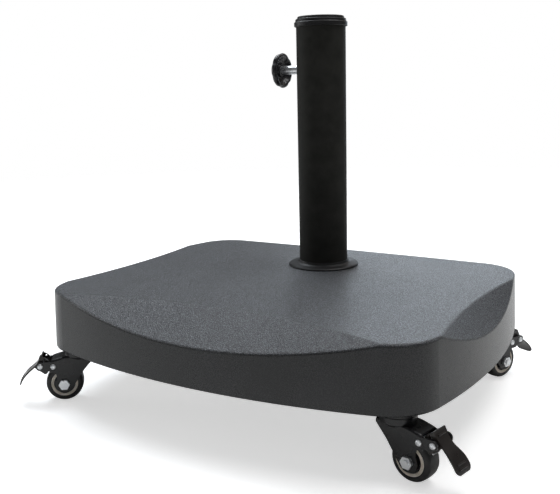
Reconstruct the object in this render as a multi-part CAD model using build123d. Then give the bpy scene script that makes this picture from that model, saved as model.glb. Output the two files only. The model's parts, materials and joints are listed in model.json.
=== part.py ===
from build123d import *
import math
import os

# Parasol base on castors: a ballasted, moulded slab with three scooped edges, an off-centre
# clamp tube with two nested pole reducers, and four braked swivel castors.
# Millimetres. The floor is z = 0, +Z is up, the widest scooped edge faces -Y, and the tube
# stands towards +Y. Pieces are drawn about the slab's middle, and save() moves them all so
# that the origin is under the middle of the whole footprint, castors included.

# ---- Driving dimensions -------------------------------------------------------------------

FOOTPRINT_SHIFT = -4.9        # the back castors' pedals reach further out than the slab
CASTOR_HEIGHT = 59.6          # floor to the underside of the slab
SLAB_THICK = 61.6
HALF_WIDTH = 224.8            # slab, mid-side, at the top
HALF_DEPTH = 175.7
SIDE_RADIUS = 587.0           # bowed left and right edges
FRONT_RADIUS = 708.0          # bowed front edge
BACK_RADIUS = 4480.0          # nearly straight back edge
FRONT_CORNER = 48.8
BACK_CORNER = 46.2
SLAB_FLARE = 2.0              # each side is this much further out at the bottom
SKIN = 3.0                    # moulded shell round the concrete
TOP_ROUND = 3.0
BOTTOM_ROUND = 2.0

FRONT_SCOOP = {"edge": 122.5, "slope": 0.4135, "rise": 3.72e-4}
SIDE_SCOOP = {"edge": 205.0, "slope": 1.16, "rise": 8.2e-4}

TUBE_Y = 87.9                 # the tube stands behind the middle
TUBE_OD = 55.0
TUBE_WALL = 1.5
TUBE_RIM = 270.5              # above the slab's top
FLANGE_OD = 80.0

POCKET_DEPTH = 10.0           # recess for the anchor bolt, under the concrete
LAND = 9.0                    # concrete left between the recess and the tube's socket
ANCHOR_R = 5.0                # M10

COLLAR_R = 29.5
COLLAR_BORE_R = 24.3
SLEEVE_BOTTOM = 232.0         # lower end of both reducers, above the slab's top
OUTER_SLEEVE_R = 24.2
OUTER_BORE_R = 19.25
INNER_SLEEVE_R = 19.15
POLE_BORE_R = 16.25           # takes a 32 mm pole
RING_Z = (274.0, 277.2, 279.9)
SKIRT = 5.2                   # collar's outer band below its first ring

SCREW_Z = 222.6               # above the slab's top
SCREW_R = 5.0                 # M10
SCREW_TIP = -17.5
KNOB_FACE = -48.0             # the knob's rim, its end nearest the tube
KNOB_LENGTH = 10.0
KNOB_R = 19.8
KNOB_LOBES = 7
NOTCH_R = 5.5                 # scallops between the lobes
NOTCH_DEPTH = 1.8
NOTCH_TURN = 27.0
KNOB_WALL = 2.2
HUB_R = 7.5
NUT_R = 8.0
NUT_LENGTH = 8.0

CASTOR_X = 182.8
CASTOR_Y = 126.0
CASTORS = {                   # pivot x, pivot y, direction in which the wheel trails
    "fl": (-CASTOR_X, -CASTOR_Y, 220.0),
    "fr": (CASTOR_X, -CASTOR_Y, -12.0),
    "bl": (-CASTOR_X, CASTOR_Y, 168.0),
    "br": (CASTOR_X, CASTOR_Y, 64.0),
}

TRAIL = 17.7                  # pivot to axle
WHEEL_R = 19.5
TYRE_HALF = 8.9
RING_R = (11.0, 14.0)
RING_HALF = 9.1
FORK_OUT = 12.0               # outer face of each cheek, from the middle
FORK_IN = 10.2
ROOF_Z = 50.0
SHEET = 1.8
AXLE_R = 3.0
BUSH_R = 4.0
STOP_RIVET = (28.1, 39.5)     # along, height
PEDAL_PIVOT = (41.3, 40.5)
RIVET_R = 2.0

EAR_R = 4.6                   # fork's ear round the pedal's pivot
BOSS_R = 9.2                  # fork's boss round the axle
CHEEK_FRONT = (-14.5, 46.5)   # along, height: where the cheek's front edge starts down
CHEEK_KNEE = (-3.9, 34.4)
CHEEK_HEEL = (31.6, 32.6)     # lower back corner of the cheek
CUP_R = 16.4                  # lower ball race, pressed into the fork's crown
CUP_TOP = 54.4
RACE_Z = 53.7                 # underside of the upper race
BALL_R = 1.75
BALL_RING_R = 11.6
BALLS = 14
KINGPIN_R = 4.0
KINGPIN_FOOT = 45.6
ROOF_END = 29.5               # the roof stops short of the pedal
ROOF_BEND = (12.0, 23.6, 48.1)   # the roof is level up to the first, then drops through the others
PEDAL_SHEET = 1.4
PEDAL_HALF = 8.6              # head and flanges, from the middle
TREAD_HALF = 10.4
PEDAL_LINE = ((39.6, 51.2), (42.8, 45.2), (47.9, 39.2), (54.3, 34.0), (59.5, 28.4), (63.8, 20.4))
PEDAL_STATIONS = 12
PEDAL_RIBS = ((42.4, 47.4, 5.2), (60.6, 27.6, 5.6), (62.6, 24.2, 5.6))   # along, height, half length
RIB_R = 0.9
SLOT = (37.2, 46.0)           # hole in each pedal flange
SLOT_HALF = 1.5
SLOT_R = 0.65
SLOT_TILT = 30.0
LEAF_ANGLE = -51.5            # brake leaf, below the along axis
LEAF_END = 10.6               # from the stop rivet
LEAF_LIP = 3.6
LEAF_THICK = 0.6
LEAF_HALF = 5.0
WRAP_R = (2.1, 2.7)
CAM_AT = 10.2                 # pedal's cam rod, along the leaf
CAM_R = 1.2
CAM_GAP = 0.15

STEM_R = 5.0                  # M10
INSERT_R = 8.0
INSERT_DEPTH = 30.0
POCKET_R = 28.0
FOOT_FLANGE = 3.0
FOOT_HEIGHT = 15.0
WASHER_THICK = 2.5

# ---- Derived heights ----------------------------------------------------------------------

SLAB_BOTTOM = CASTOR_HEIGHT
SLAB_TOP = SLAB_BOTTOM + SLAB_THICK
TUBE_R = TUBE_OD / 2
TUBE_BORE_R = TUBE_R - TUBE_WALL
SOCKET_FLOOR = SLAB_BOTTOM + POCKET_DEPTH + LAND
TUBE_AXIS = Pos(0, TUBE_Y, 0)
BOND = 0.1                    # gap between a sleeve and the wall that it fills


# ---- Helpers ------------------------------------------------------------------------------

def save(name, *solids):
    """Write one node. Several solids in one node are identical or fastened pieces."""
    moved = [Pos(0, FOOTPRINT_SHIFT, 0) * solid for solid in solids]
    shape = moved[0] if len(moved) == 1 else Compound(children=moved)
    export_step(shape, f"parts/{name}.step")


def closed_face(lines):
    """A face inside a closed run of lines and curves."""
    return make_face([edge for line in lines for edge in line.edges()])


def turned(*points):
    """A solid turned about Z from a closed outline of (radius, height) points."""
    outline = Polyline(*[(r, 0, z) for r, z in points], close=True)
    return revolve(make_face(outline), Axis.Z)


def rod(radius, z0, z1):
    return Pos(0, 0, z0) * Cylinder(radius, z1 - z0, align=(Align.CENTER, Align.CENTER, Align.MIN))


def pipe(outer, inner, z0, z1):
    return rod(outer, z0, z1) - rod(inner, z0 - 1, z1 + 1)


def side_plate(face, low, high):
    """Extrude a face drawn in the along-height plane from one lateral place to another."""
    return extrude(Pos(0, low, 0) * face, amount=high - low, dir=(0, 1, 0))


def lateral(piece):
    """Turn a piece made about Z so that its axis lies across the castor, along Y."""
    return Rot(X=-90) * piece


def hexagon(across_flats, z0, z1):
    prism = extrude(RegularPolygon(across_flats / 2, 6, major_radius=False), amount=z1 - z0)
    return Pos(0, 0, z0) * prism


# ---- Slab ---------------------------------------------------------------------------------

def slab_plan(inset):
    """The slab's outline, moved in by inset: four bowed edges with rounded corners."""
    side = Circle(SIDE_RADIUS - inset)
    plan = Pos(HALF_WIDTH - SIDE_RADIUS, 0) * side
    plan &= Pos(SIDE_RADIUS - HALF_WIDTH, 0) * side
    plan &= Pos(0, FRONT_RADIUS - HALF_DEPTH) * Circle(FRONT_RADIUS - inset)
    plan &= Pos(0, HALF_DEPTH - BACK_RADIUS) * Circle(BACK_RADIUS - inset)
    corners = plan.vertices().sort_by(Axis.Y)
    plan = fillet(corners[:2], FRONT_CORNER - inset)
    corners = [v for v in plan.vertices() if v.Y > 100]
    return fillet(corners, BACK_CORNER - inset)


def scoop(edge, slope, rise, inset, turn):
    """A large cylinder that cuts one sloping, hollow facet along an edge of the slab."""
    tilt = math.degrees(math.atan(slope))
    radius = 1 / (2 * rise * math.cos(math.radians(tilt)))
    cutter = Pos(0, 0, radius) * Rot(X=-90) * Cylinder(radius + inset, 800)
    return Rot(Z=turn) * Pos(0, -edge, SLAB_TOP) * Rot(X=tilt) * cutter


def slab_solid(inset):
    """The slab, or the same form moved in by inset for its filling."""
    flare = math.degrees(math.atan(SLAB_FLARE / SLAB_THICK))
    plan = Pos(0, 0, SLAB_BOTTOM) * slab_plan(inset - SLAB_FLARE)
    solid = extrude(plan, amount=SLAB_THICK - inset, taper=flare)
    solid = fillet(solid.faces().sort_by(Axis.Z)[-1].edges(), TOP_ROUND)
    solid -= scoop(FRONT_SCOOP["edge"], FRONT_SCOOP["slope"], FRONT_SCOOP["rise"], inset, 0)
    for turn in (90, -90):
        solid -= scoop(SIDE_SCOOP["edge"], SIDE_SCOOP["slope"], SIDE_SCOOP["rise"], inset, turn)
    return solid


def is_scoop_edge(edge):
    """The two long edges of each scooped facet, where it meets the top and the side."""
    return edge.length > 150 and edge.geom_type in (GeomType.ELLIPSE, GeomType.BSPLINE)


def make_shell():
    """The moulded outer skin, open underneath."""
    outer = slab_solid(0)
    outer = fillet([e for e in outer.edges() if is_scoop_edge(e)], TOP_ROUND)
    outer = fillet(outer.faces().sort_by(Axis.Z)[0].edges(), BOTTOM_ROUND)
    shell = outer - slab_solid(SKIN)
    return shell - TUBE_AXIS * rod(TUBE_R + BOND, SLAB_BOTTOM, SLAB_TOP + 1)


def make_ballast():
    """The concrete filling, with a socket for the tube, an anchor recess and four insert holes."""
    block = slab_solid(SKIN + BOND)
    block -= TUBE_AXIS * rod(TUBE_R + BOND, SOCKET_FLOOR, SLAB_TOP)
    block -= TUBE_AXIS * rod(ANCHOR_R + 1, SLAB_BOTTOM - 1, SLAB_TOP)
    block -= TUBE_AXIS * rod(POCKET_R, SLAB_BOTTOM - 1, SLAB_BOTTOM + POCKET_DEPTH)
    for x, y, _ in CASTORS.values():
        block -= Pos(x, y, 0) * rod(INSERT_R + BOND, SLAB_BOTTOM - 1, SLAB_BOTTOM + INSERT_DEPTH + 1)
    return block


def make_inserts():
    """Four threaded bushes cast into the concrete, one for each castor's stem."""
    insert = pipe(INSERT_R, STEM_R + BOND, SLAB_BOTTOM, SLAB_BOTTOM + INSERT_DEPTH)
    return [Pos(x, y, 0) * insert for x, y, _ in CASTORS.values()]


# ---- Tube and its anchor ------------------------------------------------------------------

def make_tube():
    """Powder-coated steel tube with a hole for the clamp screw."""
    tube = pipe(TUBE_R, TUBE_BORE_R, SOCKET_FLOOR + FOOT_FLANGE, SLAB_TOP + TUBE_RIM)
    screw_hole = Pos(-TUBE_R, 0, SLAB_TOP + SCREW_Z) * Rot(Y=90) * Cylinder(SCREW_R + 0.4, 12)
    return TUBE_AXIS * (tube - screw_hole)


def make_flange():
    """Thin rosette that covers the joint between tube and slab, swept up to the tube."""
    bore = TUBE_R + BOND
    rim = FLANGE_OD / 2
    rosette = turned(
        (bore, 0), (rim, 0), (rim, 1.6), (rim - 0.9, 2.5), (32.0, 3.4), (29.4, 4.6), (28.6, 6.6), (bore, 6.8),
    )
    return TUBE_AXIS * Pos(0, 0, SLAB_TOP) * rosette


def make_foot():
    """Plug welded into the tube's lower end, tapped for the anchor bolt."""
    plug = rod(TUBE_BORE_R - BOND, SOCKET_FLOOR, SOCKET_FLOOR + FOOT_HEIGHT)
    plug += rod(TUBE_R, SOCKET_FLOOR, SOCKET_FLOOR + FOOT_FLANGE)
    return TUBE_AXIS * (plug - rod(ANCHOR_R + BOND, SOCKET_FLOOR - 1, SOCKET_FLOOR + FOOT_HEIGHT + 1))


def make_anchor_washer():
    top = SLAB_BOTTOM + POCKET_DEPTH
    return TUBE_AXIS * pipe(POCKET_R - 2, ANCHOR_R + 0.5, top - WASHER_THICK, top)


def make_anchor_bolt():
    seat = SLAB_BOTTOM + POCKET_DEPTH - WASHER_THICK
    bolt = rod(ANCHOR_R, seat, SOCKET_FLOOR + FOOT_HEIGHT - 1)
    return TUBE_AXIS * (bolt + hexagon(16.0, seat - 6.4, seat))


# ---- Tube's head: collar, reducers, clamp --------------------------------------------------

def make_collar():
    """Plastic cap on the tube's rim: an outer band, a web over the rim and an inner liner."""
    web_top = RING_Z[0]
    skirt = web_top - SKIRT
    outline = [
        (COLLAR_BORE_R, SLEEVE_BOTTOM), (TUBE_BORE_R - BOND, SLEEVE_BOTTOM), (TUBE_BORE_R - BOND, TUBE_RIM),
        (TUBE_R + BOND, TUBE_RIM), (TUBE_R + BOND, skirt), (COLLAR_R - 0.5, skirt), (COLLAR_R, skirt + 0.5),
        (COLLAR_R, web_top - 0.8), (COLLAR_R - 0.8, web_top), (COLLAR_BORE_R, web_top),
    ]
    return TUBE_AXIS * Pos(0, 0, SLAB_TOP) * turned(*outline)


def make_reducer(bore, sleeve, flange, seat, top):
    """A pole reducer: a sleeve that hangs in the bore below by its rounded flange."""
    outline = [
        (bore + 1.0, SLEEVE_BOTTOM), (sleeve, SLEEVE_BOTTOM), (sleeve, seat), (flange - 0.3, seat),
        (flange, seat + 0.4), (flange, top - 1.2), (flange - 0.4, top - 0.4), (flange - 1.2, top),
        (bore + 1.0, top), (bore, top - 1.0), (bore, SLEEVE_BOTTOM + 1.0),
    ]
    return TUBE_AXIS * Pos(0, 0, SLAB_TOP) * turned(*outline)


def along_screw(piece):
    """Move a piece made about Z from the tube's axis onto the screw's, +Z pointing into the tube."""
    return TUBE_AXIS * Pos(0, 0, SLAB_TOP + SCREW_Z) * Rot(Y=90) * piece


def make_knob_nut():
    """Weld nut inside the tube's wall, its outer face curved to the wall."""
    end = -TUBE_R + NUT_LENGTH
    nut = rod(NUT_R, -TUBE_R, end) - rod(SCREW_R + 0.06, -TUBE_R - 1, end + 1)
    inside = Pos(0, TUBE_Y, SLAB_TOP + SCREW_Z) * Cylinder(TUBE_BORE_R - BOND, 40)
    return along_screw(nut) & inside


def make_screw():
    """Round clamp stud with a chamfered tip, moulded into the knob."""
    stud = rod(SCREW_R, KNOB_FACE - KNOB_LENGTH + 4.0, SCREW_TIP)
    return along_screw(chamfer(stud.edges().sort_by(Axis.Z)[-1], 1.0))


def knob_dome(inset):
    """The knob's domed form, turned about the screw, moved in by inset from the back and the side."""
    back = KNOB_FACE - KNOB_LENGTH + inset
    rim = KNOB_FACE + inset
    edge = (KNOB_R - inset, 0, back + 7.0)
    crown = Spline(
        (0, 0, back), (0.45 * KNOB_R, 0, back + 0.6), (0.8 * KNOB_R, 0, back + 2.6), edge,
        tangents=((1, 0, 0), (0.1, 0, 1)),
    )
    wall = Polyline(edge, (KNOB_R - inset, 0, rim), (0, 0, rim), (0, 0, back))
    return revolve(closed_face([crown, wall]), Axis.Z)


def make_knob():
    """Scalloped, domed grip, hollow on the tube's side round a ribbed hub."""
    back = KNOB_FACE - KNOB_LENGTH
    notches = []
    for i in range(KNOB_LOBES):
        spot = Rot(Z=360 / KNOB_LOBES * i + NOTCH_TURN) * Pos(KNOB_R + NOTCH_R - NOTCH_DEPTH, 0)
        notches.append(spot * rod(NOTCH_R, back - 1, KNOB_FACE + 1))
    grip = knob_dome(0)
    for notch in notches:
        grip -= notch
    hollow = knob_dome(KNOB_WALL) & rod(KNOB_R - NOTCH_DEPTH - KNOB_WALL, back, KNOB_FACE + 1)
    grip -= hollow
    hub = rod(HUB_R, back + KNOB_WALL, KNOB_FACE - 1.0)
    for i in range(KNOB_LOBES):
        rib = Pos(HUB_R + 3.5, 0, back + 6.0) * Box(9.0, 1.4, 4.0)
        hub += Rot(Z=360 / KNOB_LOBES * (i + 0.5) + NOTCH_TURN) * rib
    grip += hub
    return along_screw(grip - rod(SCREW_R + 0.02, back + 4.0, KNOB_FACE + 1))


# ---- Castors, made about the pivot: X trails, Y is across, Z is up --------------------------

def make_stem():
    """Threaded stem, upper race and kingpin in one, riveted over below the fork's roof."""
    return turned(
        (0, KINGPIN_FOOT), (6.2, KINGPIN_FOOT), (6.5, KINGPIN_FOOT + 0.5), (6.5, ROOF_Z - SHEET - 0.3),
        (KINGPIN_R, ROOF_Z - SHEET - 0.3), (KINGPIN_R, RACE_Z), (14.3, RACE_Z), (14.3, RACE_Z + 1.1),
        (16.4, RACE_Z + 1.1), (17.0, RACE_Z + 1.7), (17.0, CASTOR_HEIGHT), (STEM_R, CASTOR_HEIGHT),
        (STEM_R, CASTOR_HEIGHT + INSERT_DEPTH - 3), (STEM_R - 1, CASTOR_HEIGHT + INSERT_DEPTH - 2),
        (0, CASTOR_HEIGHT + INSERT_DEPTH - 2),
    )


def make_balls():
    ball = Pos(BALL_RING_R, 0, ROOF_Z + BOND + BALL_R) * Sphere(BALL_R)
    return [Rot(Z=360 / BALLS * i) * ball for i in range(BALLS)]


def below_tangent(px, pz, cx, cz, radius):
    """Where the line from a point touches the lower side of a circle."""
    base = math.atan2(pz - cz, px - cx)
    turn = base + math.acos(radius / math.hypot(px - cx, pz - cz))
    return (cx + radius * math.cos(turn), 0, cz + radius * math.sin(turn))


def fork_side():
    """Side view of the pressed fork without its ears: roof, cheek and boss round the axle."""
    ax, az = TRAIL, WHEEL_R
    level, bend_x, bend_z = ROOF_BEND
    knee = (CHEEK_KNEE[0], 0, CHEEK_KNEE[1])
    heel = (CHEEK_HEEL[0], 0, CHEEK_HEEL[1])
    touch = below_tangent(*CHEEK_KNEE, ax, az, BOSS_R)
    lift = math.radians(20)
    boss_end = (ax + BOSS_R * math.cos(lift), 0, az + BOSS_R * math.sin(lift))
    roof_end = (ROOF_END, 0, 46.4)
    outline = [
        Line((CHEEK_FRONT[0], 0, ROOF_Z), (level, 0, ROOF_Z)),
        Spline((level, 0, ROOF_Z), (bend_x, 0, bend_z), roof_end, tangents=((1, 0, 0), (1, 0, -0.4))),
        Polyline(roof_end, (heel[0], 0, 44.6), heel, (26.4, 0, 32.8)),
        Spline((26.4, 0, 32.8), (24.9, 0, 28.0), boss_end),
        ThreePointArc(boss_end, (ax, 0, az - BOSS_R), touch),
        Polyline(touch, knee, (CHEEK_FRONT[0], 0, CHEEK_FRONT[1]), (CHEEK_FRONT[0], 0, ROOF_Z)),
    ]
    return closed_face(outline)


def ear_side():
    """Side view of the ears that carry the pedal's pivot."""
    px, pz = PEDAL_PIVOT
    start = CHEEK_HEEL[0] - 3
    outline = [
        Line((start, 0, 44.6), (px - 1, 0, pz + EAR_R)),
        ThreePointArc((px - 1, 0, pz + EAR_R), (px + EAR_R, 0, pz), (px, 0, pz - EAR_R)),
        Polyline((px, 0, pz - EAR_R), (start, 0, 34.6), (start, 0, 44.6)),
    ]
    return closed_face(outline)


def under_roof():
    """Side view of the space for wheel and pedal, open to the front, back and below."""
    low = -5
    roof = ROOF_Z - SHEET
    level, bend_x, bend_z = ROOF_BEND
    end = (ROOF_END, 0, 46.4 - SHEET)
    outline = [
        Polyline((60, 0, 70), (60, 0, low), (-30, 0, low), (-30, 0, roof), (level, 0, roof)),
        Spline((level, 0, roof), (bend_x - 0.3, 0, bend_z - SHEET), end, tangents=((1, 0, 0), (1, 0, -0.4))),
        Polyline(end, (ROOF_END, 0, 70), (60, 0, 70)),
    ]
    return closed_face(outline)


def make_fork():
    fork = side_plate(fork_side(), -FORK_OUT, FORK_OUT)
    shoulders = [e for e in fork.edges() if abs(e.center().Y) > FORK_OUT - 1 and e.center().Z > ROOF_Z - 4.3]
    fork = fillet([e for e in shoulders if e.length > 12], 2.4)
    fork += side_plate(ear_side(), -FORK_OUT, FORK_OUT)
    cup_bore = CUP_R - SHEET
    fork += turned(
        (0, 40.0), (11.5, 45.2), (CUP_R, ROOF_Z - 1.0), (CUP_R, CUP_TOP), (cup_bore, CUP_TOP),
        (cup_bore, ROOF_Z), (0, ROOF_Z),
    )
    fork -= side_plate(under_roof(), -FORK_IN, FORK_IN)
    fork -= rod(KINGPIN_R + 0.06, 0, 60)
    for (x, z), r in (((TRAIL, WHEEL_R), AXLE_R), (STOP_RIVET, RIVET_R), (PEDAL_PIVOT, RIVET_R)):
        fork -= Pos(x, 0, z) * lateral(rod(r + 0.05, -20, 20))
    return fork


def make_axle():
    """Hex-head axle bolt and its nut."""
    bolt = rod(AXLE_R, -FORK_OUT - 4.6, FORK_OUT) + hexagon(10.0, FORK_OUT, FORK_OUT + 3.2)
    nut = hexagon(10.0, -FORK_OUT - 3.2, -FORK_OUT) - rod(AXLE_R + 0.02, -FORK_OUT - 4, -FORK_OUT + 1)
    return [Pos(TRAIL, 0, WHEEL_R) * lateral(piece) for piece in (bolt, nut)]


def make_bush():
    bush = pipe(BUSH_R, AXLE_R + 0.04, -FORK_IN + 0.02, FORK_IN - 0.02)
    return Pos(TRAIL, 0, WHEEL_R) * lateral(bush)


def make_rivets():
    """The brake's stop rivet and the pedal's pivot rivet, both right across the fork."""
    head = FORK_OUT + 1.25
    rivet = turned(
        (0, 0), (0, head - 0.5), (1.1, head - 0.5), (1.5, head), (2.3, head - 0.2), (2.9, head - 0.9),
        (2.9, FORK_OUT), (RIVET_R, FORK_OUT), (RIVET_R, 0),
    )
    rivet += mirror(rivet, Plane.XY)
    return [Pos(x, 0, z) * lateral(rivet) for x, z in (STOP_RIVET, PEDAL_PIVOT)]


def wheel_piece(*points):
    return Pos(TRAIL, 0, WHEEL_R) * lateral(turned(*points))


def make_hub():
    """Nylon wheel centre: bearing boss, thin web, rim."""
    bore = BUSH_R + 0.06
    half = [(bore, 9.6), (6.6, 9.6), (7.2, 9.0), (7.4, 2.6), (9.6, 2.6), (9.8, 8.3), (RING_R[0], 8.3)]
    return wheel_piece(*half, *[(r, -v) for r, v in reversed(half)])


def make_ring():
    low, high = RING_R
    half = [(low, RING_HALF - 0.5), (low + 0.5, RING_HALF), (high - 0.6, RING_HALF), (high, RING_HALF - 0.5)]
    return wheel_piece(*half, *[(r, -v) for r, v in reversed(half)])


def make_tyre():
    """Solid tyre with a rounded tread."""
    inner = RING_R[1]
    shoulder = 3.8
    tread = TYRE_HALF - shoulder
    side = WHEEL_R - shoulder - 0.3
    bend = shoulder * math.sqrt(0.5)
    outline = [
        Line((inner, 0, -TYRE_HALF), (side, 0, -TYRE_HALF)),
        ThreePointArc((side, 0, -TYRE_HALF), (side + bend, 0, -tread - bend), (side + shoulder, 0, -tread)),
        ThreePointArc((side + shoulder, 0, -tread), (WHEEL_R, 0, 0), (side + shoulder, 0, tread)),
        ThreePointArc((side + shoulder, 0, tread), (side + bend, 0, tread + bend), (side, 0, TYRE_HALF)),
        Polyline((side, 0, TYRE_HALF), (inner, 0, TYRE_HALF), (inner, 0, -TYRE_HALF)),
    ]
    return Pos(TRAIL, 0, WHEEL_R) * lateral(revolve(closed_face(outline), Axis.Z))


def pedal_side():
    """Side view of the pedal's plate: steep head, waist behind the pivot, curved tread."""
    middle = Spline(*[(x, 0, z) for x, z in PEDAL_LINE])
    skins = []
    for side in (-PEDAL_SHEET / 2, PEDAL_SHEET / 2):
        points = []
        for i in range(PEDAL_STATIONS + 1):
            along = middle % (i / PEDAL_STATIONS)
            points.append(middle @ (i / PEDAL_STATIONS) + Vector(-along.Z, 0, along.X) * side)
        skins.append(Spline(*points))
    ends = [Line(skins[0] @ end, skins[1] @ end) for end in (0, 1)]
    return closed_face(skins + ends)


def pedal_front():
    """Front view of the pedal's plate, across and up: head, waist and wide rounded tread."""
    half = [
        Polyline((0, 56), (PEDAL_HALF, 56), (PEDAL_HALF, 48.0)),
        Spline(
            (PEDAL_HALF, 48.0), (7.8, 43.0), (7.8, 38.6), (9.6, 32.6), (TREAD_HALF, 26.0),
            tangents=((0, -1), (0, -1)),
        ),
        ThreePointArc((TREAD_HALF, 26.0), (9.4, 22.2), (5.8, 20.4)),
        Polyline((5.8, 20.4), (0, 20.4), (0, 56)),
    ]
    face = closed_face(half)
    return face + mirror(face, Plane.YZ)


def pedal_flange():
    """Side view of the pedal's two folded flanges, from the head round the pivot to the cam rod."""
    edge = [
        (39.8, 50.4), (43.0, 44.9), (48.0, 39.1), (37.6, 31.0), (35.2, 31.4), (33.4, 34.6),
        (31.6, 38.6), (31.3, 43.4), (33.6, 46.6), (36.6, 49.0),
    ]
    return closed_face([Polyline(*[(x, 0, z) for x, z in edge], close=True)])


def leaf_point(along, out):
    """A point in the castor's side view, along the brake leaf from its rivet and out from the tyre."""
    turn = math.radians(LEAF_ANGLE)
    x = STOP_RIVET[0] + along * math.cos(turn) - out * math.sin(turn)
    z = STOP_RIVET[1] + along * math.sin(turn) + out * math.cos(turn)
    return (x, 0, z)


def make_leaf():
    """Sprung brake leaf: rolled round the stop rivet, straight past the tyre, lip turned up."""
    wrap_x, wrap_z = STOP_RIVET
    half = LEAF_THICK / 2
    path = [leaf_point(WRAP_R[0] + half, 0), leaf_point(LEAF_END, 0), leaf_point(LEAF_END + LEAF_LIP, 1.1)]
    back = [leaf_point(LEAF_END + LEAF_LIP - 0.2, 1.7), leaf_point(LEAF_END - 0.1, LEAF_THICK)]
    strip = closed_face([Polyline(*path, *back, leaf_point(WRAP_R[0] + half, LEAF_THICK), close=True)])
    leaf = side_plate(strip, -LEAF_HALF, LEAF_HALF)
    leaf += Pos(wrap_x, 0, wrap_z) * lateral(rod(WRAP_R[1], -LEAF_HALF, LEAF_HALF))
    return leaf - Pos(wrap_x, 0, wrap_z) * lateral(rod(WRAP_R[0], -LEAF_HALF - 1, LEAF_HALF + 1))


def make_pedal():
    """Pressed brake pedal: plate, two flanges on the pivot rivet, cam rod on the leaf, grip ribs."""
    outline = Rot(Z=90) * Rot(X=90) * pedal_front()
    plate = side_plate(pedal_side(), -TREAD_HALF - 1, TREAD_HALF + 1)
    plate &= extrude(Pos(20, 0, 0) * outline, amount=60, dir=(1, 0, 0))
    inner = PEDAL_HALF - PEDAL_SHEET
    pedal = plate + side_plate(pedal_flange(), inner, PEDAL_HALF)
    pedal += side_plate(pedal_flange(), -PEDAL_HALF, -inner)
    cam = leaf_point(CAM_AT, LEAF_THICK + CAM_GAP + CAM_R)
    pedal += Pos(*cam) * lateral(rod(CAM_R, -PEDAL_HALF, PEDAL_HALF))
    for x, z, half_length in PEDAL_RIBS:
        pedal += Pos(x, 0, z) * lateral(rod(RIB_R, -half_length, half_length))
    slot = Box(2 * SLOT_R, 40, 2 * SLOT_HALF)
    for end in (-SLOT_HALF, SLOT_HALF):
        slot += Pos(0, 0, end) * lateral(rod(SLOT_R, -20, 20))
    pedal -= Pos(SLOT[0], 0, SLOT[1]) * Rot(Y=-SLOT_TILT) * slot
    px, pz = PEDAL_PIVOT
    return pedal - Pos(px, 0, pz) * lateral(rod(RIVET_R + 0.06, -20, 20))


# ---- Build --------------------------------------------------------------------------------

def place(piece, castor):
    x, y, turn = CASTORS[castor]
    return Pos(x, y, 0) * Rot(Z=turn) * piece


def main():
    os.makedirs("parts", exist_ok=True)
    save("base_shell", make_shell())
    save("ballast_block", make_ballast())
    save("castor_inserts", *make_inserts())
    save("stand_tube", make_tube())
    save("tube_flange", make_flange())
    save("tube_foot", make_foot())
    save("anchor_washer", make_anchor_washer())
    save("anchor_bolt", make_anchor_bolt())
    save("tube_collar", make_collar())
    save("knob_nut", make_knob_nut())
    save("reducer_outer", make_reducer(OUTER_BORE_R, OUTER_SLEEVE_R, 28.2, RING_Z[0], RING_Z[1]))
    save("reducer_inner", make_reducer(POLE_BORE_R, INNER_SLEEVE_R, 26.0, RING_Z[1], RING_Z[2]))
    save("clamp_screw", make_screw())
    save("clamp_knob", make_knob())
    castor_pieces = {
        "stem": [make_stem()],
        "balls": make_balls(),
        "fork": [make_fork()],
        "axle_bolt": make_axle(),
        "axle_bush": [make_bush()],
        "rivets": make_rivets(),
        "wheel_hub": [make_hub()],
        "wheel_ring": [make_ring()],
        "tyre": [make_tyre()],
        "brake_pedal": [make_pedal()],
        "brake_leaf": [make_leaf()],
    }
    for castor in CASTORS:
        for name, pieces in castor_pieces.items():
            save(f"{castor}_{name}", *[place(piece, castor) for piece in pieces])


if __name__ == "__main__":
    main()
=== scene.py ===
import json
import math

import bmesh
import bpy
from mathutils import Matrix, Vector


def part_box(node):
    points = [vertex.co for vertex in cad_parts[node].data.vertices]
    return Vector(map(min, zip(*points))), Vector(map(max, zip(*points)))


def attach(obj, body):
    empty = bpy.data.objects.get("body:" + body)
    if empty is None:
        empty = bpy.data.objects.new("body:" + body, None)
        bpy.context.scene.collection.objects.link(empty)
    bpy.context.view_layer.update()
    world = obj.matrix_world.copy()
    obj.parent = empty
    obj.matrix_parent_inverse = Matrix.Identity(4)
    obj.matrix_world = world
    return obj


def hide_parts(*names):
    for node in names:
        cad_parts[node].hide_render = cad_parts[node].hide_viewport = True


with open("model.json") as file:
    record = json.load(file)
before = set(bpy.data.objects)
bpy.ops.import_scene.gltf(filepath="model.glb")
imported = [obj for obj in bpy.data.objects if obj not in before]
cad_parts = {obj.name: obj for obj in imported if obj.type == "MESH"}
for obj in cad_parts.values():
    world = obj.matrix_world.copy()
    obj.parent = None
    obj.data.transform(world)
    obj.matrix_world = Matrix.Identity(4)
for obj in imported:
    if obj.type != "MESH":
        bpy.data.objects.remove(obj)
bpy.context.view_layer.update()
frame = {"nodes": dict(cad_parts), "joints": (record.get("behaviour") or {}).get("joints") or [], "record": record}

# Looks of the parasol base: finishes for every CAD node, a turned knob and turned wheel rings
# in place of the plain ones, a pale floor, soft studio light and the camera.

MM = 0.001
CASTORS = ("fl", "fr", "bl", "br")
SHELL_LOW, SHELL_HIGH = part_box("base_shell")
MIDDLE = Vector(((SHELL_LOW.x + SHELL_HIGH.x) / 2, (SHELL_LOW.y + SHELL_HIGH.y) / 2, 0))
SLAB_TOP = SHELL_HIGH.z
CAD = frame["nodes"]


# ---- Finishes -----------------------------------------------------------------------------

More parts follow.
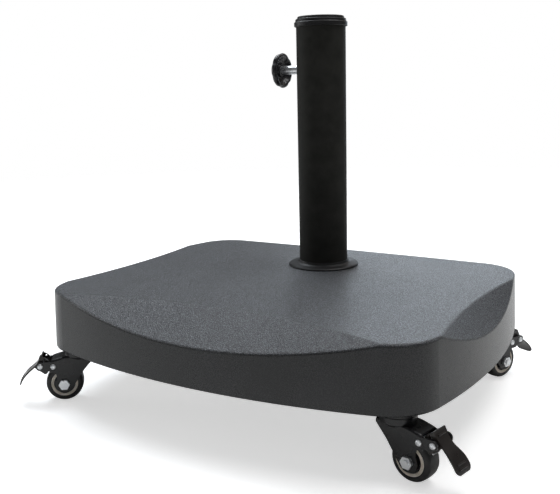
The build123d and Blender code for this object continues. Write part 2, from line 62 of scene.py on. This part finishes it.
class Finish:
    """A node material around one Principled shader, with helpers for its textures."""

    def __init__(self, name, colour, roughness, **constants):
        self.material = bpy.data.materials.new(name)
        self.material.use_nodes = True
        self.tree = self.material.node_tree
        self.shader = self.tree.nodes["Principled BSDF"]
        self.shader.inputs["Base Color"].default_value = (*colour, 1)
        self.shader.inputs["Roughness"].default_value = roughness
        for socket, value in constants.items():
            self.shader.inputs[socket.replace("_", " ")].default_value = value
        self.place = self.node("ShaderNodeTexCoord").outputs["Object"]

    def node(self, kind, **settings):
        made = self.tree.nodes.new(kind)
        for key, value in settings.items():
            setattr(made, key, value)
        return made

    def join(self, out, socket):
        self.tree.links.new(out, socket)

    def noise(self, size, detail=2.0, stretch=(1, 1, 1), contrast=(0.0, 1.0)):
        """Noise whose features are about size metres across, spread between the two contrast ends."""
        mapping = self.node("ShaderNodeMapping")
        mapping.inputs["Scale"].default_value = stretch
        self.join(self.place, mapping.inputs["Vector"])
        noise = self.node("ShaderNodeTexNoise")
        noise.inputs["Scale"].default_value = 1 / size
        noise.inputs["Detail"].default_value = detail
        self.join(mapping.outputs["Vector"], noise.inputs["Vector"])
        return self.spread(noise.outputs["Fac"], contrast)

    def cells(self, size, contrast=(0.0, 1.0)):
        """Rounded cells about size metres across, spread between the two contrast ends."""
        cells = self.node("ShaderNodeTexVoronoi")
        cells.inputs["Scale"].default_value = 1 / size
        self.join(self.place, cells.inputs["Vector"])
        return self.spread(cells.outputs["Distance"], contrast)

    def spread(self, value, ends, low=0.0, high=1.0):
        spread = self.node("ShaderNodeMapRange")
        spread.inputs["From Min"].default_value = ends[0]
        spread.inputs["From Max"].default_value = ends[1]
        spread.inputs["To Min"].default_value = low
        spread.inputs["To Max"].default_value = high
        self.join(value, spread.inputs["Value"])
        return spread.outputs["Result"]

    def math(self, operation, a, b):
        step = self.node("ShaderNodeMath", operation=operation)
        for socket, value in zip(step.inputs, (a, b)):
            if isinstance(value, (int, float)):
                socket.default_value = value
            else:
                self.join(value, socket)
        return step.outputs["Value"]

    def upward(self, low, high):
        """1 on faces that look up, 0 on upright ones."""
        normal = self.node("ShaderNodeTexCoord").outputs["Normal"]
        parts = self.node("ShaderNodeSeparateXYZ")
        self.join(normal, parts.inputs["Vector"])
        return self.spread(parts.outputs["Z"], (low, high))

    def colours(self, factor, dark, light):
        mix = self.node("ShaderNodeMix", data_type="RGBA")
        colour_sockets = [s for s in mix.inputs if s.type == "RGBA"]
        colour_sockets[0].default_value = (*dark, 1)
        colour_sockets[1].default_value = (*light, 1)
        self.join(factor, mix.inputs["Factor"])
        result = [s for s in mix.outputs if s.type == "RGBA"][0]
        self.join(result, self.shader.inputs["Base Color"])
        return self

    def rough(self, factor, low, high):
        self.join(self.spread(factor, (0, 1), low, high), self.shader.inputs["Roughness"])
        return self

    def bump(self, height, depth, strength=1.0):
        """Raise the surface by depth metres where height is 1. Further calls add finer relief."""
        bump = self.node("ShaderNodeBump")
        bump.inputs["Distance"].default_value = depth
        bump.inputs["Strength"].default_value = strength
        self.join(height, bump.inputs["Height"])
        socket = self.shader.inputs["Normal"]
        if socket.is_linked:
            self.join(socket.links[0].from_socket, bump.inputs["Normal"])
        self.join(bump.outputs["Normal"], socket)
        return self


def slab_finish():
    """Moulded charcoal plastic: sandy stipple on top and on the facets, smoother at the sides. Sparse bright
    bluish specks painted into the colour, mostly on upward faces, are painted glints of light.
    """
    f = Finish("slab_plastic", (0.014, 0.015, 0.017), 0.42, Specular_IOR_Level=0.5)
    top = f.upward(0.25, 0.6)
    sand = f.noise(0.8 * MM, 2.0, contrast=(0.34, 0.66))
    pits = f.cells(1.3 * MM, contrast=(0.1, 0.6))
    relief = f.math("MULTIPLY", f.math("ADD", sand, pits), f.spread(top, (0, 1), 0.05, 1.0))
    cloud = f.noise(60 * MM, 4.0, contrast=(0.3, 0.7))
    # Painted glints: sparse bright bluish specks in the base colour stand in for light sparkling off the grain,
    # mostly on upward faces.
    painted_sparkle = f.noise(0.55 * MM, 0.0, contrast=(0.57, 0.66))
    painted_glints = f.math("MULTIPLY", painted_sparkle, f.spread(top, (0, 1), 0.02, 1.0))
    # The light colour end is reached almost only by the painted glints; the cloud moves the colour a little.
    f.colours(f.math("ADD", f.math("MULTIPLY", cloud, 0.04), painted_glints),
              (0.010, 0.0105, 0.0115), (0.24, 0.255, 0.28))
    dull = f.math("ADD", f.math("MULTIPLY", cloud, 0.2), f.math("MULTIPLY", sand, 0.3))
    f.rough(f.math("ADD", dull, f.math("MULTIPLY", top, 0.4)), 0.21, 0.44)
    f.bump(relief, 0.3 * MM, 0.8)
    return f.material


def satin_black(name, colour, roughness, peel=1.2 * MM, depth=0.02 * MM, **constants):
    """Black coating or plastic with slight orange peel and uneven gloss."""
    f = Finish(name, colour, roughness, **constants)
    cloud = f.noise(18 * MM, 3.0, contrast=(0.3, 0.7))
    f.colours(cloud, tuple(0.85 * c for c in colour), tuple(1.25 * c for c in colour))
    f.rough(cloud, roughness - 0.04, roughness + 0.05)
    f.bump(f.noise(peel, 2.0), depth, 0.5)
    return f.material


def metal_finish(name, colour, roughness):
    """Plated or bare steel with fine marks and a slightly cloudy polish."""
    f = Finish(name, colour, roughness, Metallic=0.8)
    cloud = f.noise(2.5 * MM, 4.0, contrast=(0.3, 0.7))
    f.colours(cloud, tuple(0.93 * c for c in colour), colour)
    f.rough(cloud, roughness - 0.04, roughness + 0.06)
    f.bump(f.noise(0.4 * MM, 3.0, stretch=(1, 1, 4)), 0.015 * MM, 0.5)
    return f.material


def concrete_finish():
    f = Finish("concrete", (0.32, 0.31, 0.29), 0.9)
    cloud = f.noise(25 * MM, 6.0, contrast=(0.3, 0.7))
    f.colours(cloud, (0.22, 0.215, 0.20), (0.42, 0.41, 0.39))
    f.bump(f.noise(3 * MM, 6.0), 0.4 * MM, 0.7)
    f.bump(f.cells(6 * MM, contrast=(0.0, 0.25)), 0.5 * MM, 0.6)
    return f.material


def tyre_finish():
    f = Finish("tyre_black", (0.018, 0.018, 0.019), 0.5)
    dust = f.noise(6 * MM, 5.0, contrast=(0.4, 0.75))
    f.colours(dust, (0.013, 0.013, 0.014), (0.035, 0.034, 0.033))
    f.rough(dust, 0.42, 0.62)
    f.bump(f.noise(0.5 * MM, 3.0), 0.03 * MM, 0.6)
    return f.material


def ring_finish():
    f = Finish("beige_ring", (0.80, 0.73, 0.64), 0.34, Subsurface_Weight=0.08)
    f.shader.inputs["Subsurface Radius"].default_value = (0.002, 0.0015, 0.001)
    cloud = f.noise(5 * MM, 4.0, contrast=(0.3, 0.7))
    f.colours(cloud, (0.74, 0.66, 0.56), (0.86, 0.80, 0.72))
    f.bump(f.noise(0.8 * MM, 2.0), 0.02 * MM, 0.5)
    return f.material


FINISHES = {
    "slab_plastic": slab_finish(),
    "concrete": concrete_finish(),
    "powder_coat": satin_black("powder_coat", (0.027, 0.027, 0.0245), 0.60, 0.7 * MM, 0.02 * MM,
                               Specular_IOR_Level=0.08),
    "black_plastic": satin_black("black_plastic", (0.014, 0.014, 0.0145), 0.46, 0.8 * MM, 0.01 * MM,
                                 Specular_IOR_Level=0.3),
    "knob_gloss": satin_black("knob_gloss", (0.014, 0.014, 0.016), 0.34, 2 * MM, 0.01 * MM),
    "zinc_steel": metal_finish("zinc_steel", (0.90, 0.92, 0.94), 0.30),
    "bare_steel": metal_finish("bare_steel", (0.50, 0.50, 0.49), 0.34),
    "black_ecoat": satin_black("black_ecoat", (0.011, 0.011, 0.012), 0.27, 1.5 * MM, 0.02 * MM),
    "hub_nylon": satin_black("hub_nylon", (0.025, 0.025, 0.026), 0.42),
    "beige_ring": ring_finish(),
    "tyre_black": tyre_finish(),
}

for subpart in frame["record"]["subparts"]:
    node = CAD[subpart["node"]]
    node.data.materials.clear()
    node.data.materials.append(FINISHES[subpart["material_slot"]])

PEDAL_FINISH = satin_black("pedal_black", (0.022, 0.018, 0.016), 0.30, 1.0 * MM, 0.02 * MM)
for castor in CASTORS:
    pedal = CAD[castor + "_brake_pedal"].data.materials
    pedal.clear()
    pedal.append(PEDAL_FINISH)


# ---- Turned pieces in place of plain CAD nodes ---------------------------------------------

def turned(name, outline, centre, axis, ripple=None, closed=False, segments=168):
    """Turn (along, radius) pairs round an axis through centre, as one smooth mesh."""
    axis = Vector(axis).normalized()
    across = axis.cross(Vector((0, 0, 1))).normalized()
    over = across.cross(axis)
    mesh = bmesh.new()
    rings = []
    for along, radius in outline:
        ring = []
        for i in range(segments):
            angle = 2 * math.pi * i / segments
            reach = radius * (ripple(angle, radius) if ripple else 1.0)
            out = across * math.cos(angle) + over * math.sin(angle)
            ring.append(mesh.verts.new(centre + axis * along + out * reach))
        rings.append(ring)
    pairs = list(zip(rings, rings[1:]))
    if closed:
        pairs.append((rings[-1], rings[0]))
    else:
        mesh.faces.new(rings[0])
        mesh.faces.new(rings[-1])
    for one, two in pairs:
        for i in range(segments):
            j = (i + 1) % segments
            mesh.faces.new((one[i], one[j], two[j], two[i]))
    bmesh.ops.recalc_face_normals(mesh, faces=mesh.faces)
    data = bpy.data.meshes.new(name)
    mesh.to_mesh(data)
    mesh.free()
    for face in data.polygons:
        face.use_smooth = True
    piece = bpy.data.objects.new(name, data)
    bpy.context.scene.collection.objects.link(piece)
    return piece


def through(points, steps=4):
    """Catmull-Rom curve through the points, with steps spans between each two."""
    ends = [points[0]] + list(points) + [points[-1]]
    curve = []
    for p, q, r, t in zip(ends, ends[1:], ends[2:], ends[3:]):
        for i in range(steps):
            u = i / steps
            curve.append(tuple(0.5 * (2 * b + (c - a) * u + (2 * a - 5 * b + 4 * c - d) * u * u
                                      + (3 * b - a - 3 * c + d) * u ** 3)
                               for a, b, c, d in zip(p, q, r, t)))
    return curve + [points[-1]]


def finish_piece(piece, slot, body, node):
    piece.data.materials.append(FINISHES[slot])
    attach(piece, body)
    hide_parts(node)


def middle(low, high):
    return (low + high) / 2


KNOB_LOBES = 7
KNOB_TURN = 27                         # degrees
KNOB_NOTCH = 0.055                     # depth of a notch, as a part of the radius
LOBES_FROM = 10 * MM                   # the lobes fade in over this radius and the next LOBES_FADE
LOBES_FADE = 8 * MM
KNOB_OUTLINE = (                       # from the domed back to the hub on the tube's side
    (0.0, 0.3), (0.15, 5.0), (0.8, 10.5), (2.3, 15.4), (4.4, 18.6), (6.6, 19.7), (8.6, 19.4),
    (9.6, 18.4), (9.9, 17.2), (9.3, 15.7), (7.6, 13.8), (5.6, 11.6), (4.7, 9.4), (4.9, 7.8),
    (6.3, 6.9), (6.9, 6.3), (7.0, 5.05),
)


def make_grip():
    """The knob's moulding: domed back, rounded lobed rim and a dished face round the hub."""
    low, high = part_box("clamp_knob")
    centre = middle(low, high)
    centre.x = low.x

    def lobes(angle, radius):
        notch = (0.5 + 0.5 * math.cos(KNOB_LOBES * (angle - math.radians(KNOB_TURN)))) ** 3
        rim = min(1.0, max(0.0, (radius - LOBES_FROM) / LOBES_FADE))
        return 1 - KNOB_NOTCH * notch * rim * rim * (3 - 2 * rim)

    outline = through([(a * MM, r * MM) for a, r in KNOB_OUTLINE])
    grip = turned("knob_grip", outline, centre, (1, 0, 0), lobes)
    finish_piece(grip, "knob_gloss", "clamp_grip", "clamp_knob")


RING_HALF = 9.1 * MM
RING_FACE = (                          # one face of the ring: depth below the face, radius
    (2.2, 10.95), (0.25, 11.0), (0.0, 11.2), (0.0, 11.75), (0.45, 11.95), (0.45, 12.3),
    (0.0, 12.5), (0.0, 13.5), (0.35, 13.9), (2.2, 14.0),
)


def make_wheel_ring(castor):
    """Pale plastic ring of a wheel, grooved on both faces."""
    centre = middle(*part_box(castor + "_wheel_ring"))
    joint = [j for j in frame["joints"] if j["name"] == castor + "_roll"][0]
    front = [(RING_HALF - depth * MM, radius * MM) for depth, radius in RING_FACE]
    back = [(-along, radius) for along, radius in reversed(front)]
    ring = turned(castor + "_ring", front + back, centre, joint["axis"], closed=True, segments=96)
    finish_piece(ring, "beige_ring", joint["child"], castor + "_wheel_ring")


make_grip()
for castor in CASTORS:
    make_wheel_ring(castor)


# ---- Stage, light and camera --------------------------------------------------------------

FLOOR_RADIUS = 2.5
FADE_FROM = 0.75                       # the floor fades out from here to just inside its rim


def make_floor():
    """Pale floor that fades into the white surround, and bounces light as plain pale card does."""
    bpy.ops.mesh.primitive_circle_add(vertices=96, radius=FLOOR_RADIUS, fill_type="NGON",
                                      location=MIDDLE)
    floor = bpy.context.object
    floor.name = "floor"
    f = Finish("floor", (0.92, 0.92, 0.92), 0.7, Specular_IOR_Level=0.2, Emission_Strength=0.55)
    f.shader.inputs["Emission Color"].default_value = (1, 1, 1, 1)
    distance = f.node("ShaderNodeVectorMath", operation="LENGTH")
    f.join(f.place, distance.inputs[0])
    fade = f.spread(distance.outputs["Value"], (FADE_FROM, FLOOR_RADIUS - 0.1), 1.0, 0.0)
    f.join(fade, f.shader.inputs["Alpha"])
    seen = f.node("ShaderNodeLightPath").outputs["Is Camera Ray"]
    bounce = f.node("ShaderNodeBsdfDiffuse")
    bounce.inputs["Color"].default_value = (0.84, 0.83, 0.81, 1)
    mix = f.node("ShaderNodeMixShader")
    f.join(seen, mix.inputs["Fac"])
    f.join(bounce.outputs["BSDF"], mix.inputs[1])
    f.join(f.shader.outputs["BSDF"], mix.inputs[2])
    f.join(mix.outputs["Shader"], f.tree.nodes["Material Output"].inputs["Surface"])
    floor.data.materials.append(f.material)


def make_world():
    """White to the eye, softer as a light, so that black pieces stay black."""
    world = bpy.data.worlds.new("surround")
    world.use_nodes = True
    tree = world.node_tree
    seen = tree.nodes["Background"]
    seen.inputs["Color"].default_value = (1, 1, 1, 1)
    lit = tree.nodes.new("ShaderNodeBackground")
    lit.inputs["Color"].default_value = (0.96, 0.97, 1.0, 1)
    lit.inputs["Strength"].default_value = 0.10
    mix = tree.nodes.new("ShaderNodeMixShader")
    path = tree.nodes.new("ShaderNodeLightPath")
    tree.links.new(path.outputs["Is Camera Ray"], mix.inputs["Fac"])
    tree.links.new(lit.outputs["Background"], mix.inputs[1])
    tree.links.new(seen.outputs["Background"], mix.inputs[2])
    tree.links.new(mix.outputs["Shader"], tree.nodes["World Output"].inputs["Surface"])
    bpy.context.scene.world = world


def softbox(name, azimuth, elevation, distance, size, radiance, colour=(1, 1, 1)):
    """Area light that faces the slab's middle from an azimuth about +Z, with 0 along +X."""
    light = bpy.data.lights.new(name, "AREA")
    light.shape = "RECTANGLE"
    light.size, light.size_y = size
    light.color = colour
    light.energy = radiance * math.pi * size[0] * size[1]
    lamp = bpy.data.objects.new(name, light)
    bpy.context.scene.collection.objects.link(lamp)
    a, e = math.radians(azimuth), math.radians(elevation)
    aim = MIDDLE + Vector((0, 0, 0.15))
    out = Vector((math.cos(a) * math.cos(e), math.sin(a) * math.cos(e), math.sin(e)))
    lamp.location = aim + out * distance
    lamp.rotation_euler = (-out).to_track_quat("-Z", "Y").to_euler()
    lamp.visible_camera = False


def make_camera():
    """The photographer stood at the front right corner, a little above the tube's middle."""
    stand = Vector((0.4302, -0.7218, 0.2059))      # from the middle of the slab's top
    yaw, pitch, roll = -0.5438, -0.1798, -0.022
    camera = bpy.data.cameras.new("camera")
    camera.lens = 51.67
    camera.sensor_width = 36.0
    camera.shift_x, camera.shift_y = 0.0011, -0.0278
    camera.clip_start = 0.02
    view = bpy.data.objects.new("camera", camera)
    bpy.context.scene.collection.objects.link(view)
    forward = Vector((math.sin(yaw) * math.cos(pitch), math.cos(yaw) * math.cos(pitch), math.sin(pitch)))
    right = Vector((math.cos(yaw), -math.sin(yaw), 0))
    up = right.cross(forward)
    tilted_right = right * math.cos(roll) + up * math.sin(roll)
    tilted_up = up * math.cos(roll) - right * math.sin(roll)
    turn = Matrix((tilted_right, tilted_up, -forward)).transposed()
    view.matrix_world = Matrix.Translation(MIDDLE + Vector((0, 0, SLAB_TOP)) + stand) @ turn.to_4x4()
    bpy.context.scene.camera = view


make_floor()
make_world()
softbox("overhead", 100, 80, 2.6, (2.8, 2.4), 1.0)
softbox("back_window", 99, 6.5, 3.0, (2.0, 0.85), 2.3, (0.80, 0.90, 1.0))
softbox("back_wall", 92, 30, 3.0, (2.2, 0.9), 0.35, (1.0, 0.72, 0.5))
softbox("top_left", 150, 56, 2.6, (1.5, 1.2), 7.0, (0.88, 0.94, 1.0))
softbox("left_fill", 193, 8, 2.6, (1.2, 0.7), 3.8)
softbox("right_fill", 35, 64, 2.2, (1.3, 1.0), 4.2)
softbox("front_fill", 300, 40, 2.8, (1.6, 1.2), 0.3)
make_camera()
bpy.context.scene.view_settings.view_transform = "Standard"
